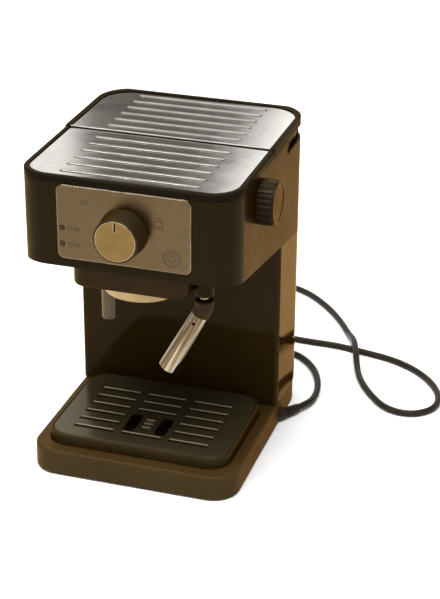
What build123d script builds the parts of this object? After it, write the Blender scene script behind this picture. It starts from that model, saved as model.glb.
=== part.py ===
from build123d import *
import math
import os

os.makedirs("parts", exist_ok=True)

# Pump espresso machine, mm. X runs across it, -Y is its front, +Z is up.
# The pieces are drawn about the housing's middle, and moved at the end so that the origin
# is the middle of the whole outline, knobs included, on the worktop.

# Housing.
body_w = 205.0
body_d = 241.0
body_h = 308.0
wall = 2.5
corner_front = 28.0
corner_back = 34.0
head_front_h = 87.0
head_rear_h = 122.5
column_d = 92.5
column_corner = 4.0
edge_round = 2.0
touch_gap = 0.4
pin_gap = 0.05

# Base, drip tray and cup grille.
base_in = 1.0
base_h = 23.5
base_round = 3.0
foot_h = 2.0
foot_r = 8.0
foot_in = 26.5
foot_front_in = 30.5
foot_rear_in = 25.5
plate_t = 2.0
screw_r = 1.6
screw_head_r = 3.0
screw_head_t = 1.0
boss_r = 4.0
well_floor = 11.0
well_wall = 2.0
tray_side_in = 11.5
tray_front_in = 14.5
tray_rear_in = 4.0
tray_h = 25.5
tray_r = 20.0
tray_wall = 2.5
tray_gap = 0.8
grille_t = 3.0
grille_ledge = 2.5
slot_rows = 6
slot_pitch = 15.3
slot_rear_in = 33.0
slot_l = 41.5
slot_w = 3.4
slot_step = 47.5
slot_lip_r = 0.9
oval_w = 12.0
oval_l = 36.0
oval_x = 15.5

# Top plates and tank lid.
lid_front = 1.0
lid_t = 7.5
lid_gap = 0.5
rim_w = 5.0
plate_sheet = 1.2
plate_corner = 24.0
lid_corner = 28.0
lid_rear_rim = 4.5
bead_l = 131.0
bead_w = 3.6
bead_h = 1.0
bead_count = 6
bead_pitch = 17.4
bead_margin = 15.5
lug_x = 48.0
lug_w = 10.0
lug_r = 2.4
lug_open_h = 1.5
pin_r = 1.5
grip_rear_in = 14.0
grip_l = 62.0
grip_drop = 13.0
hem_r = 1.0
rim_low = 0.8

# Control panel and its knob.
panel_w = 125.0
panel_h = 70.5
panel_t = 1.2
panel_r = 6.0
panel_drop = 43.0
mark_t = 0.12
knob_below = 3.0
knob_d = 45.0
knob_tip_d = 41.0
knob_l = 20.6
knob_cap_t = 1.0
knob_shaft_r = 3.0
lamp_in = 4.5
lamp_below = 5.8
lamp_step = 15.3
lamp_r = 2.5

# Steam tap, wand and frother.
tap_in = 78.5
tap_drop = 34.0
tap_d = 42.0
tap_l = 16.0
tap_flutes = 26
tap_shaft_r = 4.0
wand_out = 9.0
wand_in = 32.5
wand_drop = 17.0
wand_lean = 27.5
wand_pipe_r = 4.5
wand_socket_r = 9.0
wand_l = 67.0
boot_gap = 5.0
sleeve_start = 8.4
sleeve_l = 66.0
sleeve_top_r = 8.2
sleeve_end_r = 9.6
sleeve_wall = 0.9

# Group, boiler and relief spout.
group_in = 52.5
shroud_gap = 2.9
shroud_front_in = 3.5
shroud_d = 97.0
shroud_r = 16.0
shroud_h = 20.0
collar_drop = 14.0
collar_bore = 31.0
collar_wall = 7.0
collar_h = 18.0
ear_w = 18.0
ear_lip = 2.2
ear_run = 3.4
ear_deep = 3.5
gasket_h = 5.6
gasket_room = 6.0
gasket_w = 6.0
gasket_seat = 1.0
screen_t = 1.5
boiler_wall = 3.0
boiler_in = 5.0
boiler_rim = 8.0
boiler_rest = 0.3
boiler_upper_h = 16.0
flange_t = 3.0
seal_t = 1.5
spout_gap = 1.25
spout_behind = 18.0
spout_r = 7.0
spout_drop = 82.0

# Water tank, pump and hoses.
tank_bay_d = 60.5
tank_foot = 129.2
tank_wall = 2.0
tank_side_gap = 1.5
tank_front_gap = 0.5
bay_gap = 0.1
shelf_t = 3.0
valve_rear_in = 32.5
valve_r = 9.0
socket_gap = 0.4
pump_rear_in = 45.5
pump_z = 70.0
pump_coil = 40.0
pump_end_r = 8.0
pump_end_l = 25.0
hose_r = 3.5
pipe_r = 3.0
hose_bend = 8.0

# Mains cord.
cord_r = 3.25
gland_r = 5.5
gland_rear_in = 73.0
gland_z = 6.2
gland_out = 22.0
gland_in = 12.0
gland_turn = 55.0
cord_grip = 8.0
plug_l = 36.0
plug_w = 16.0

# Heights and faces that follow from the sizes above.
yf = -body_d / 2
yb = body_d / 2
half_w = body_w / 2
seam_front = body_h - head_front_h
seam_back = body_h - head_rear_h
column_front = yb - column_d
base_w = body_w - 2 * base_in
base_top = foot_h + base_h
tray_w = base_w - 2 * tray_side_in
tray_front = yf + tray_front_in
tray_back = column_front - tray_rear_in
slot_first = tray_back - slot_rear_in
panel_z = body_h - panel_drop
knob_z = panel_z - knob_below
lamp_x = lamp_in - panel_w / 2
lamp_z = panel_z - lamp_below
tap_y = yf + tap_in
tap_z = body_h - tap_drop
group_y = yf + group_in
collar_r = collar_bore + collar_wall
boiler_r = collar_r - boiler_in
boiler_flange_r = boiler_r + boiler_rim
shroud_front = yf + shroud_front_in
shroud_rear = shroud_front + shroud_d
shroud_foot = seam_front - shroud_h
collar_foot = shroud_foot - collar_drop
spout_off = collar_r + spout_gap + spout_r
spout_x = -math.sqrt(spout_off**2 - spout_behind**2)
spout_y = group_y + spout_behind
spout_foot = seam_front - spout_drop
shroud_x = spout_r - spout_x + shroud_gap + wall
wand_x = shroud_x + wand_out
wand_y = yf + wand_in
wand_turn_z = shroud_foot - wand_drop
tank_front = yb - tank_bay_d
valve_y = yb - valve_rear_in
pump_y = yb - pump_rear_in
gland_y = yb - gland_rear_in
tray_top = well_floor + tray_h
lid_foot = body_h - lid_t
head_top = lid_foot - lid_gap
tank_top = head_top - 1.0
shelf_top = tank_foot - 0.2
part_wall_y = tank_front - tank_front_gap - wall
panel_face = yf - panel_t
deck_top = body_h - 3.0
collar_top = collar_foot + collar_h
nodes = {}


def seam_z(y):
    return seam_front + (seam_back - seam_front) * (y - yf) / body_d


def plan(w, d, rf, rb, z0, z1, cy=0.0):
    face = Rectangle(w, d)
    face = fillet(face.vertices().group_by(Axis.Y)[0], rf)
    face = fillet(face.vertices().group_by(Axis.Y)[-1], rb)
    return Pos(0, cy, z0) * extrude(face, z1 - z0)


def block(x0, x1, y0, y1, z0, z1):
    return Pos((x0 + x1) / 2, (y0 + y1) / 2, (z0 + z1) / 2) * Box(x1 - x0, y1 - y0, z1 - z0)


def rounded(x0, x1, y0, y1, r, z0, z1):
    face = RectangleRounded(x1 - x0, y1 - y0, r)
    return Pos((x0 + x1) / 2, (y0 + y1) / 2, z0) * extrude(face, z1 - z0)


def post(x, y, r, z0, z1):
    return Pos(x, y, (z0 + z1) / 2) * Cylinder(r, z1 - z0)


def along_x(y, z, r, x0, x1):
    return Pos((x0 + x1) / 2, y, z) * Rot(0, 90, 0) * Cylinder(r, x1 - x0)


def along_y(x, z, r, y0, y1):
    return Pos(x, (y0 + y1) / 2, z) * Rot(90, 0, 0) * Cylinder(r, y1 - y0)


def tube(points, r, bend):
    path = FilletPolyline(*points, radius=bend)
    return sweep(Plane(origin=path @ 0, z_dir=path % 0) * Circle(r), path=path)


def under_seam(y0, y1, lift):
    low = 20.0
    pts = [(y0, low), (y1, low), (y1, seam_z(y1) + lift), (y0, seam_z(y0) + lift)]
    return extrude(Plane.YZ * Polygon(*pts, align=None), amount=body_w, both=True)


def top_edges(shape):
    return shape.faces().sort_by(Axis.Z)[-1].outer_wire().edges()


def beads(first_y, z):
    bars = []
    for i in range(bead_count):
        bar = extrude(SlotOverall(bead_l, bead_w), bead_h)
        bar = fillet(top_edges(bar), bead_h * 0.8)
        bars.append(Pos(0, first_y + i * bead_pitch, z) * bar)
    return bars


# Base tub: a low rounded plinth, open underneath, with a sunken well for the tray.
base = plan(base_w, body_d, corner_front - 2, corner_back, foot_h, base_top)
base = fillet(top_edges(base), base_round)
base -= plan(base_w - 2 * wall, body_d - 2 * wall, corner_front - 2 - wall, corner_back - wall,
             foot_h, base_top - wall)
well_x = tray_w / 2 + tray_gap
well_r = tray_r + tray_gap
base += rounded(-well_x - well_wall, well_x + well_wall, tray_front - tray_gap - well_wall,
                tray_back + tray_gap + well_wall, well_r + well_wall, well_floor - well_wall, base_top - wall)
base -= rounded(-well_x, well_x, tray_front - tray_gap, tray_back + tray_gap, well_r,
                well_floor, base_top + 1)
screw_x = base_w / 2 - 18
screw_spots = [
    (41.5 - base_w / 2, yf + 32.5),
    (base_w / 2 - 41.5, yf + 32.5),
    (-screw_x, yb - 72.5),
    (screw_x, yb - 50.5),
    (4 - screw_x, yb - 16.5),
    (screw_x - 4, yb - 16.5),
]
wire_x = base_w / 2 - 41.5
wire_y = yb - 46.5
for sx, sy in screw_spots:
    boss_top = well_floor - well_wall if sy < tray_back else base_top - wall
    base += post(sx, sy, boss_r, foot_h + plate_t, boss_top)
    base -= post(sx, sy, screw_r, foot_h, foot_h + plate_t + 4.5)
turn = Rot(0, 0, gland_turn)
gland_at = Pos(base_w / 2, gland_y, gland_z) * turn
base -= gland_at * Rot(0, 90, 0) * Cylinder(gland_r + 0.1, 60)
base -= post(wire_x, wire_y, 6, base_top - wall - 1, base_top + 1)
nodes["base_shell"] = base

# Bottom plate, its rubber feet and its six screws.
bottom = plan(base_w - 2 * wall - 0.4, body_d - 2 * wall - 0.4, corner_front - 5, corner_back - 3,
              foot_h, foot_h + plate_t)
bottom -= Pos(base_w / 2, gland_y, foot_h + 1) * turn * Box(44, 2 * gland_r + 4, 6)
feet = []
for fx in (foot_in - half_w, half_w - foot_in):
    for fy in (yf + foot_front_in, yb - foot_rear_in):
        bottom -= post(fx, fy, foot_r * 0.36, foot_h - 1, foot_h + plate_t + 1)
        pad = post(fx, fy, foot_r, 0, foot_h)
        pad += post(fx, fy, foot_r * 0.36, foot_h, foot_h + plate_t)
        feet.append(pad)
screws = []
for sx, sy in screw_spots:
    bottom -= post(sx, sy, screw_r, foot_h - 1, foot_h + plate_t + 1)
    bottom -= post(sx, sy, screw_head_r, foot_h - 1, foot_h + screw_head_t)
    screw = post(sx, sy, screw_head_r, foot_h, foot_h + screw_head_t)
    screw += post(sx, sy, screw_r, foot_h + screw_head_t, foot_h + plate_t + 4.4)
    screw -= block(sx - 2, sx + 2, sy - 0.4, sy + 0.4, foot_h - 1, foot_h + 0.5)
    screw -= block(sx - 0.4, sx + 0.4, sy - 2, sy + 2, foot_h - 1, foot_h + 0.5)
    screws.append(screw)
nodes["base_plate"] = bottom
nodes["feet"] = Compound(feet)
nodes["base_screws"] = Compound(screws)

# Drip tray: a tub whose inner ledge carries the cup grille flush with its rim.
tray_x = tray_w / 2
tray = rounded(-tray_x, tray_x, tray_front, tray_back, tray_r, well_floor, tray_top)
tray = fillet(top_edges(tray), 1.5)
tray = fillet(tray.faces().sort_by(Axis.Z)[0].outer_wire().edges(), 2.0)
ledge = tray_wall + grille_ledge
tray -= rounded(-tray_x + ledge, tray_x - ledge, tray_front + ledge, tray_back - ledge, tray_r - ledge,
                well_floor + tray_wall, tray_top)
tray -= rounded(-tray_x + tray_wall, tray_x - tray_wall, tray_front + tray_wall, tray_back - tray_wall,
                tray_r - tray_wall, tray_top - grille_t, tray_top + 1)
nodes["drip_tray"] = tray

# Cup grille: three columns of slots with a rounded lip each, and two ovals to lift it by.
grille_in = tray_wall + touch_gap
grille = rounded(-tray_x + grille_in, tray_x - grille_in, tray_front + grille_in, tray_back - grille_in,
                 tray_r - grille_in, tray_top - grille_t, tray_top)
grille = fillet(top_edges(grille), 1.0)
slot = extrude(SlotOverall(slot_l, slot_w), 3 * grille_t)
for row in range(slot_rows):
    row_y = slot_first - row * slot_pitch
    for col in (-1, 0, 1):
        if col == 0 and row in (3, 4):
            continue
        grille -= Pos(col * slot_step, row_y, tray_top - 2 * grille_t) * slot
lip_half = (slot_l - slot_w) / 2
for row in range(slot_rows):
    lip_y = slot_first - row * slot_pitch + slot_w / 2 + slot_lip_r
    for col in (-1, 0, 1):
        if col == 0 and row in (3, 4):
            continue
        grille += along_x(lip_y, tray_top, slot_lip_r, col * slot_step - lip_half, col * slot_step + lip_half)
oval_y = slot_first - 3.5 * slot_pitch
for side in (-1, 1):
    oval = extrude(SlotOverall(oval_l, oval_w, rotation=90), 3 * grille_t)
    grille -= Pos(side * oval_x, oval_y, tray_top - 2 * grille_t) * oval
for i in (-1, 0, 1):
    rib = extrude(SlotOverall(9, 2.2), 0.9)
    grille += Pos(0, oval_y + i * 7, tray_top) * rib
nodes["cup_grille"] = grille

# Column: the tall rear casing, cut off along the head's sloped lower edge.
col_d = yb - column_front
col_y = (yb + column_front) / 2
column = plan(body_w, col_d, column_corner, corner_back, base_top, seam_front, col_y)
column -= plan(body_w - 2 * wall, col_d - 2 * wall, column_corner - 2, corner_back - wall,
               base_top - 1, seam_front + 1, col_y)
column &= under_seam(yf - 5, yb + 5, 0)
nodes["column_shell"] = column

# Tank bay: one moulding of a shelf and a partition, which reaches up through the head.
bay_top = head_top - wall
bay = plan(body_w - 2 * wall - 2 * bay_gap, body_d - 2 * wall - 2 * bay_gap, corner_front - wall,
           corner_back - wall, shelf_top - shelf_t, bay_top)
bay &= block(-half_w, half_w, part_wall_y, yb, shelf_top - shelf_t, bay_top)
bay -= block(-half_w, half_w, part_wall_y + wall, yb, shelf_top, bay_top + 1)
bay -= post(0, valve_y, valve_r + 3.0, shelf_top - shelf_t - 1, shelf_top + 1)
nodes["tank_bay"] = bay

# Head housing: a rounded band of wall whose lower edge falls toward the rear.
low = seam_back - 10
head = plan(body_w, body_d, corner_front, corner_back, low, head_top)
head -= plan(body_w - 2 * wall, body_d - 2 * wall, corner_front - wall, corner_back - wall,
             low - 1, head_top + 1)
head -= under_seam(yf - 5, yb + 5, 0)
grip_rear = yb - grip_rear_in
head -= block(-half_w - 1, half_w + 1, grip_rear - grip_l, grip_rear, head_top - grip_drop, head_top + 1)
head -= along_y(0, knob_z, knob_shaft_r + 0.5, yf - 1, yf + wall + 1)
for i in (0, 1):
    head -= along_y(lamp_x, lamp_z - i * lamp_step, lamp_r + 0.1, yf - 1, yf + wall + 1)
head -= along_x(tap_y, tap_z, tap_shaft_r + 1.0, half_w - wall - 1, half_w + 1)
nodes["head_shell"] = head

# Cup deck: the rim and floor under the front plate, stepping down to a shelf under the lid.
deck = plan(body_w, body_d, corner_front, corner_back, head_top, body_h - rim_low)
deck &= block(-half_w, half_w, yf - 1, 0, head_top, body_h)
deck = fillet(deck.faces().sort_by(Axis.Z)[-1].edges().sort_by(Axis.Y)[:-1], edge_round)
deck -= plan(body_w - 2 * rim_w, body_d - 2 * rim_w, plate_corner, plate_corner, deck_top, body_h + 5)
hollow = plan(body_w - 2 * wall, body_d - 2 * wall, corner_front - wall, corner_back - wall,
              head_top - 1, deck_top - wall)
deck -= hollow & block(-half_w, half_w, yf, -wall, head_top - 1, deck_top)
step_x = half_w - wall - bay_gap
deck += block(-step_x, step_x, -wall, 0, bay_top, deck_top)
deck += block(-step_x, step_x, -wall, part_wall_y + wall, bay_top, head_top)
nodes["cup_deck"] = deck

# Head floor: the sloped panel that closes the head in front of the column.
floor_in = plan(body_w - 2 * wall - 0.4, body_d - 2 * wall - 0.4, corner_front - wall, corner_back - wall,
                low, head_top)
floor = under_seam(yf, column_front + wall, wall) - under_seam(yf - 5, yb + 5, 0)
floor &= floor_in
floor -= post(0, group_y, collar_r + 0.3, low, head_top)
floor -= post(wand_x, wand_y, wand_socket_r + 0.1, low, head_top)
floor -= post(spout_x, spout_y, spout_r + 0.1, low, head_top)
nodes["head_floor"] = floor

# Shroud: the skirt below the head that surrounds the group; its front stays bare.
shroud = rounded(-shroud_x, shroud_x, shroud_front, shroud_rear, shroud_r, shroud_foot, seam_front + 5)
shroud = fillet(shroud.faces().sort_by(Axis.Z)[0].outer_wire().edges(), 1.5)
shroud -= rounded(-shroud_x + wall, shroud_x - wall, shroud_front + wall, shroud_rear - wall, shroud_r - wall,
                  shroud_foot - 1, seam_front + 6)
shroud &= under_seam(yf - 5, yb + 5, 0)
nodes["group_shroud"] = shroud

# Group: bayonet collar, gasket, shower screen and its screw.
collar = post(0, group_y, collar_r, collar_foot, collar_top)
collar = fillet(collar.faces().sort_by(Axis.Z)[0].outer_wire().edges(), 1.5)
gasket_foot = collar_top - gasket_h
seat_foot = collar_top - gasket_room
gasket_r = collar_bore + gasket_seat
collar -= post(0, group_y, collar_bore, collar_foot - 1, seat_foot + 1)
collar -= post(0, group_y, gasket_r, seat_foot, collar_top + 1)
run_foot = collar_foot + ear_lip
ear_r = collar_bore + ear_deep
for side in (0, 180):
    entry = block(collar_bore - 2, ear_r, -ear_w / 2, ear_w / 2, collar_foot - 1, run_foot + ear_run)
    run = extrude(Circle(ear_r) - Circle(collar_bore - 2), ear_run)
    sector = Polygon((0, 0), (60, 0), (60, 60), (0, 60), align=None)
    run = Pos(0, 0, run_foot) * (run & extrude(sector, ear_run))
    collar -= Pos(0, group_y, 0) * Rot(0, 0, side + 30) * (entry + run)
nodes["group_collar"] = collar
gasket = post(0, group_y, gasket_r, gasket_foot, collar_top)
gasket -= post(0, group_y, gasket_r - gasket_w, gasket_foot - 1, collar_top + 1)
nodes["group_gasket"] = gasket
screen_face = Circle(gasket_r - gasket_w)
for ring, count in ((7, 6), (13, 12), (19, 18)):
    screen_face -= PolarLocations(ring, count) * Circle(1.0)
screen_face -= Circle(2.6)
screen_foot = collar_top - 3.6
nodes["shower_screen"] = Pos(0, group_y, screen_foot) * extrude(screen_face, screen_t)
shower_screw = post(0, group_y, 5.0, screen_foot - 1.8, screen_foot)
shower_screw += post(0, group_y, 2.5, screen_foot, collar_top + 2)
shower_screw -= block(-4, 4, group_y - 0.6, group_y + 0.6, screen_foot - 3, screen_foot - 0.8)
nodes["shower_screw"] = shower_screw

# Boiler: two flanged halves on the group, a flat seal, six screws, heater and cut-outs.
seal_z = seam_z(group_y - boiler_flange_r) + wall + boiler_rest + flange_t
dome_z = seal_z + seal_t
dome_top = dome_z + boiler_upper_h
lower = post(0, group_y, collar_r, collar_top, collar_top + flange_t)
lower += post(0, group_y, boiler_r, collar_top + flange_t, seal_z)
lower += post(0, group_y, boiler_flange_r, seal_z - flange_t, seal_z)
lower -= post(0, group_y, boiler_r - boiler_wall, collar_top + flange_t, seal_z + 1)
lower -= post(0, group_y, 2.5, collar_top - 1, collar_top + 2)
lower -= post(8, group_y, 2.0, collar_top - 1, collar_top + flange_t + 1)
upper = post(0, group_y, boiler_flange_r, dome_z, dome_z + flange_t)
upper += post(0, group_y, boiler_r, dome_z + flange_t, dome_top)
upper = fillet(upper.faces().sort_by(Axis.Z)[-1].edges(), 4.0)
upper -= post(0, group_y, boiler_r - boiler_wall, dome_z - 1, dome_top - boiler_wall)
seal = post(0, group_y, boiler_flange_r, seal_z, dome_z)
seal -= post(0, group_y, boiler_r - boiler_wall, seal_z - 1, dome_z + 1)
bolts = []
bolt_ring = (boiler_flange_r + boiler_r) / 2 + 0.4
for i in range(6):
    angle = math.radians(30 + 60 * i)
    bx = bolt_ring * math.cos(angle)
    by = group_y + bolt_ring * math.sin(angle)
    hole = post(bx, by, 1.7, seal_z - 8, dome_z + 8)
    lower -= hole
    upper -= hole
    seal -= hole
    bolt = post(bx, by, 1.7, seal_z - flange_t, dome_z + flange_t)
    bolt += post(bx, by, 2.9, dome_z + flange_t, dome_z + flange_t + 2.6)
    bolt -= post(bx, by, 1.4, dome_z + flange_t + 1, dome_z + flange_t + 3)
    bolts.append(bolt)
for hx in (-18, 18):
    upper -= post(hx, group_y, 2.5, dome_top - boiler_wall - 1, dome_top + 1)
nodes["boiler_lower"] = lower
nodes["boiler_upper"] = upper
nodes["boiler_gasket"] = seal
nodes["boiler_screws"] = Compound(bolts)
heater = Pos(0, group_y, seal_z - 8) * Torus(18, 3.2)
for hx in (-18, 18):
    heater += post(hx, group_y, 2.5, seal_z - 8, dome_top + 8)
nodes["heating_element"] = heater
stats = []
for sx in (-12, 12):
    stat = post(sx, group_y + 17, 8.0, dome_top, dome_top + 7)
    stat += block(sx - 5, sx - 4.2, group_y + 14, group_y + 20, dome_top + 7, dome_top + 14)
    stat += block(sx + 4.2, sx + 5, group_y + 14, group_y + 20, dome_top + 7, dome_top + 14)
    stats.append(stat)
fuse = along_x(group_y - 14, dome_top + 2.5, 2.5, -8, 8)
fuse += along_x(group_y - 14, dome_top + 2.5, 0.7, -16, 16)
nodes["heat_cutouts"] = Compound(stats + [fuse])

# Relief spout and the hose that feeds it from the boiler.
spout_top = seam_z(spout_y) + 8
spout = post(spout_x, spout_y, spout_r, spout_foot, spout_top)
spout = fillet(spout.faces().sort_by(Axis.Z)[0].edges(), 2.0)
spout -= post(spout_x, spout_y, spout_r - 3.0, spout_foot - 1, spout_top - 3)
spout -= post(spout_x, spout_y, 1.5, spout_top - 4, spout_top + 1)
nodes["relief_spout"] = spout
reach = math.hypot(spout_x, spout_y - group_y)
spout_in = (boiler_r - 0.3) / reach
hose_top = dome_top - 7
relief_path = [
    (spout_x, spout_y, spout_top),
    (spout_x, spout_y, hose_top),
    (spout_x * spout_in, group_y + (spout_y - group_y) * spout_in, hose_top),
]
relief = tube(relief_path, pipe_r, 6.0)
relief -= post(0, group_y, boiler_r, dome_z, dome_top)
nodes["relief_hose"] = relief

# Front panel with its printed signs, the two lamps and their board.
panel = Plane.XZ.offset(-yf) * Pos(0, panel_z) * RectangleRounded(panel_w, panel_h, panel_r)
panel = extrude(panel, panel_t)
panel = fillet(panel.faces().sort_by(Axis.Y)[0].outer_wire().edges(), 0.5)
panel -= along_y(0, knob_z, knob_shaft_r + 0.5, panel_face - 1, yf + 1)
for i in (0, 1):
    panel -= along_y(lamp_x, lamp_z - i * lamp_step, lamp_r + 0.1, panel_face - 1, yf + 1)
nodes["front_panel"] = panel
signs = Sketch()
for i in (0, 1):
    row_z = lamp_z - i * lamp_step
    signs += Pos(lamp_x + 7.5, row_z) * (Circle(2.2) - Circle(1.5))
    signs += Pos(lamp_x + 14, row_z + 0.9) * Rectangle(6, 0.7)
    signs += Pos(lamp_x + 14, row_z - 0.9) * Rectangle(6, 0.7)
cup_x = 33.0
cup_z = panel_z + 9.5
signs += Pos(cup_x, cup_z) * (RectangleRounded(8, 6, 1.5) - RectangleRounded(6.6, 4.6, 1.0))
signs += Pos(cup_x, cup_z - 4.4) * Rectangle(10, 0.7)
for i in (-1, 0, 1):
    signs += Pos(cup_x + 2 * i, cup_z + 5.4) * Rectangle(0.7, 2.6)
ring_x = panel_w / 2 - 17.5
ring_z = panel_z - 22
signs += Pos(ring_x, ring_z) * (Circle(8.2) - Circle(7.5))
signs += Pos(ring_x, ring_z) * (Circle(3.4) - Circle(2.8))
for i in range(12):
    signs += Pos(ring_x, ring_z) * Rot(0, 0, 30 * i) * Pos(5.6, 0) * Rectangle(1.8, 0.6)
drop_x = -36.0
for i in (-1, 0, 1):
    signs += Pos(drop_x + 2.4 * i, panel_z + 21) * Rectangle(0.7, 4.4)
nodes["panel_marks"] = extrude(Plane.XZ.offset(-panel_face) * signs, mark_t)
lenses = []
board = block(lamp_x - 8, lamp_x + 8, yf + wall + 4, yf + wall + 5.6, lamp_z - lamp_step - 9, lamp_z + 9)
for i in (0, 1):
    row_z = lamp_z - i * lamp_step
    lens = along_y(lamp_x, row_z, lamp_r, panel_face - 0.8, yf + wall + 1)
    lens = fillet(lens.faces().sort_by(Axis.Y)[0].edges(), 0.7)
    lenses.append(lens)
    board += along_y(lamp_x, row_z, 1.8, yf + wall + 1.2, yf + wall + 4)
nodes["lamp_lenses"] = Compound(lenses)
nodes["lamp_board"] = board

# Rotary switch behind the panel, with the knob, its cap and its pointer on the shaft.
switch_y = yf + wall
switch = along_y(0, knob_z, 6.0, switch_y, switch_y + 6)
switch += block(-14, 14, switch_y + 6, switch_y + 26, knob_z - 14, knob_z + 14)
for tx in (-9, -3, 3, 9):
    switch += block(tx - 2, tx + 2, switch_y + 26, switch_y + 33, knob_z + 6, knob_z + 6.8)
shaft_end = switch_y + 16
switch -= along_y(0, knob_z, knob_shaft_r + pin_gap, switch_y - 1, shaft_end + 0.5)
nodes["control_switch"] = switch
knob_root = panel_face - touch_gap
knob_tip = knob_root - knob_l
shaft = along_y(0, knob_z, knob_shaft_r, knob_tip + 6, shaft_end)
nodes["control_shaft"] = shaft
knob_body = Pos(0, knob_root, knob_z) * Rot(90, 0, 0) * Pos(0, 0, knob_l / 2) * Cone(
    knob_d / 2, knob_tip_d / 2, knob_l)
knob_body = fillet(knob_body.faces().sort_by(Axis.Y)[0].edges(), 0.8)
cap_r = knob_tip_d / 2 - 1.6
knob_body -= along_y(0, knob_z, cap_r, knob_tip - 1, knob_tip + knob_cap_t)
knob_body -= along_y(0, knob_z, knob_shaft_r, knob_tip + 6, knob_root + 1)
nodes["control_knob"] = knob_body
cap = along_y(0, knob_z, cap_r, knob_tip - 0.2, knob_tip + knob_cap_t)
cap = fillet(cap.faces().sort_by(Axis.Y)[0].edges(), 0.3)
mark_z1 = knob_z + cap_r - 0.8
mark_face = knob_tip - 0.3
mark = block(-0.9, 0.9, mark_face, knob_tip + 0.5, mark_z1 - 8.5, mark_z1)
nodes["control_pointer"] = mark
nodes["control_knob_cap"] = cap - block(-0.9, 0.9, knob_tip - 1, knob_tip + 0.5, mark_z1 - 8.5, mark_z1)

# Steam tap on the right side: fluted knob, cap and spindle into the valve body.
tap_root = half_w + touch_gap
tap_tip = tap_root + tap_l
tap_face = Circle(tap_d / 2)
tap_face -= PolarLocations(tap_d / 2 + 0.7, tap_flutes) * Circle(1.6)
tap = Plane.YZ.offset(tap_root) * Pos(tap_y, tap_z) * tap_face
tap = extrude(tap, tap_l - 2)
tap += along_x(tap_y, tap_z, tap_d / 2 - 1.2, tap_tip - 2, tap_tip)
tap -= along_x(tap_y, tap_z, tap_d / 2 - 4, tap_tip - 1.2, tap_tip + 1)
tap -= along_x(tap_y, tap_z, tap_shaft_r, tap_root - 1, tap_tip - 5)
nodes["steam_knob"] = tap
tap_cap = along_x(tap_y, tap_z, tap_d / 2 - 4, tap_tip - 1.2, tap_tip - 0.4)
nodes["steam_knob_cap"] = tap_cap
bush_end = half_w - wall - 1
valve_in = bush_end - 18
spindle = along_x(tap_y, tap_z, tap_shaft_r, valve_in + 4, tap_tip - 5)
nodes["steam_spindle"] = spindle
tap_valve = along_x(tap_y, tap_z, 8.0, valve_in + 8, bush_end)
tap_valve += block(valve_in - 18, valve_in + 8, tap_y - 11, tap_y + 11, tap_z - 12, tap_z + 12)
tap_valve -= along_x(tap_y, tap_z, tap_shaft_r + pin_gap, valve_in + 3.5, bush_end + 1)
nodes["steam_valve_body"] = tap_valve
feed_x = 22.0
feed_y = group_y - 12
steam_in = [
    (feed_x, feed_y, dome_top),
    (feed_x, feed_y, tap_z),
    (feed_x + 16, tap_y, tap_z),
    (valve_in - 18, tap_y, tap_z),
]
nodes["steam_pipe"] = tube(steam_in, pipe_r, 5.0)
socket_top = seam_z(wand_y) + 8
steam_out = [
    (valve_in - 8, tap_y, tap_z - 12),
    (valve_in - 8, tap_y, tap_z - 28),
    (wand_x, wand_y, socket_top + 16),
    (wand_x, wand_y, socket_top),
]
nodes["wand_feed_pipe"] = tube(steam_out, pipe_r, 6.0)

# Steam wand: a swivelling pipe with a bend, a dark grip and the steel frother sleeve.
socket_foot = shroud_foot - 4
socket = post(wand_x, wand_y, wand_socket_r, socket_foot, socket_top)
socket -= post(wand_x, wand_y, wand_pipe_r + pin_gap, socket_foot - 1, socket_top - 3)
nodes["wand_socket"] = socket
lean = math.radians(wand_lean)
lean_x = -math.sin(lean)
lean_z = -math.cos(lean)
wand_path = [
    (wand_x, wand_y, socket_top - 3.4),
    (wand_x, wand_y, wand_turn_z),
    (wand_x + wand_l * lean_x, wand_y, wand_turn_z + wand_l * lean_z),
]
wand = tube(wand_path, wand_pipe_r, 12.0)
wand_at = Pos(wand_x, wand_y, wand_turn_z) * Rot(0, 180 + wand_lean, 0)
wand -= wand_at * Pos(0, 0, wand_l - 10) * Cylinder(1.2, 24)
nodes["steam_wand"] = wand
grip_end = sleeve_start - 0.4
grip_path = [
    (wand_x, wand_y, socket_foot - boot_gap),
    (wand_x, wand_y, wand_turn_z),
    (wand_x + grip_end * lean_x, wand_y, wand_turn_z + grip_end * lean_z),
]
grip = tube(grip_path, sleeve_top_r + 0.6, 12.0)
grip = fillet(grip.edges().filter_by(GeomType.CIRCLE).group_by(Axis.Z)[0], 0.8)
grip = fillet(grip.edges().filter_by(GeomType.CIRCLE).group_by(Axis.Z)[-1], 2.0)
grip -= tube(wand_path, wand_pipe_r, 12.0)
nodes["wand_grip"] = grip
sleeve = Pos(0, 0, sleeve_start + sleeve_l / 2) * Cone(sleeve_top_r, sleeve_end_r, sleeve_l)
sleeve -= Pos(0, 0, sleeve_start + 4 + sleeve_l / 2) * Cone(
    sleeve_top_r - sleeve_wall, sleeve_end_r - sleeve_wall, sleeve_l)
sleeve -= Pos(0, 0, sleeve_start) * Cylinder(wand_pipe_r + pin_gap, 20)
sleeve -= Pos(0, -10, sleeve_start + 8) * Rot(90, 0, 0) * Cylinder(1.6, 12)
nodes["frother_sleeve"] = wand_at * sleeve

# Top plates: pressed steel sheets with six raised beads each.
cup_sheet = plan(body_w - 2 * rim_w - 0.4, body_d - 2 * rim_w - 0.4, plate_corner, plate_corner,
                 deck_top, deck_top + plate_sheet)
cup_sheet &= block(-half_w, half_w, yf, -0.4, deck_top, deck_top + plate_sheet)
for bar in beads(yf + rim_w + 11.5, deck_top + plate_sheet):
    cup_sheet += bar
nodes["front_plate"] = cup_sheet

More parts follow.
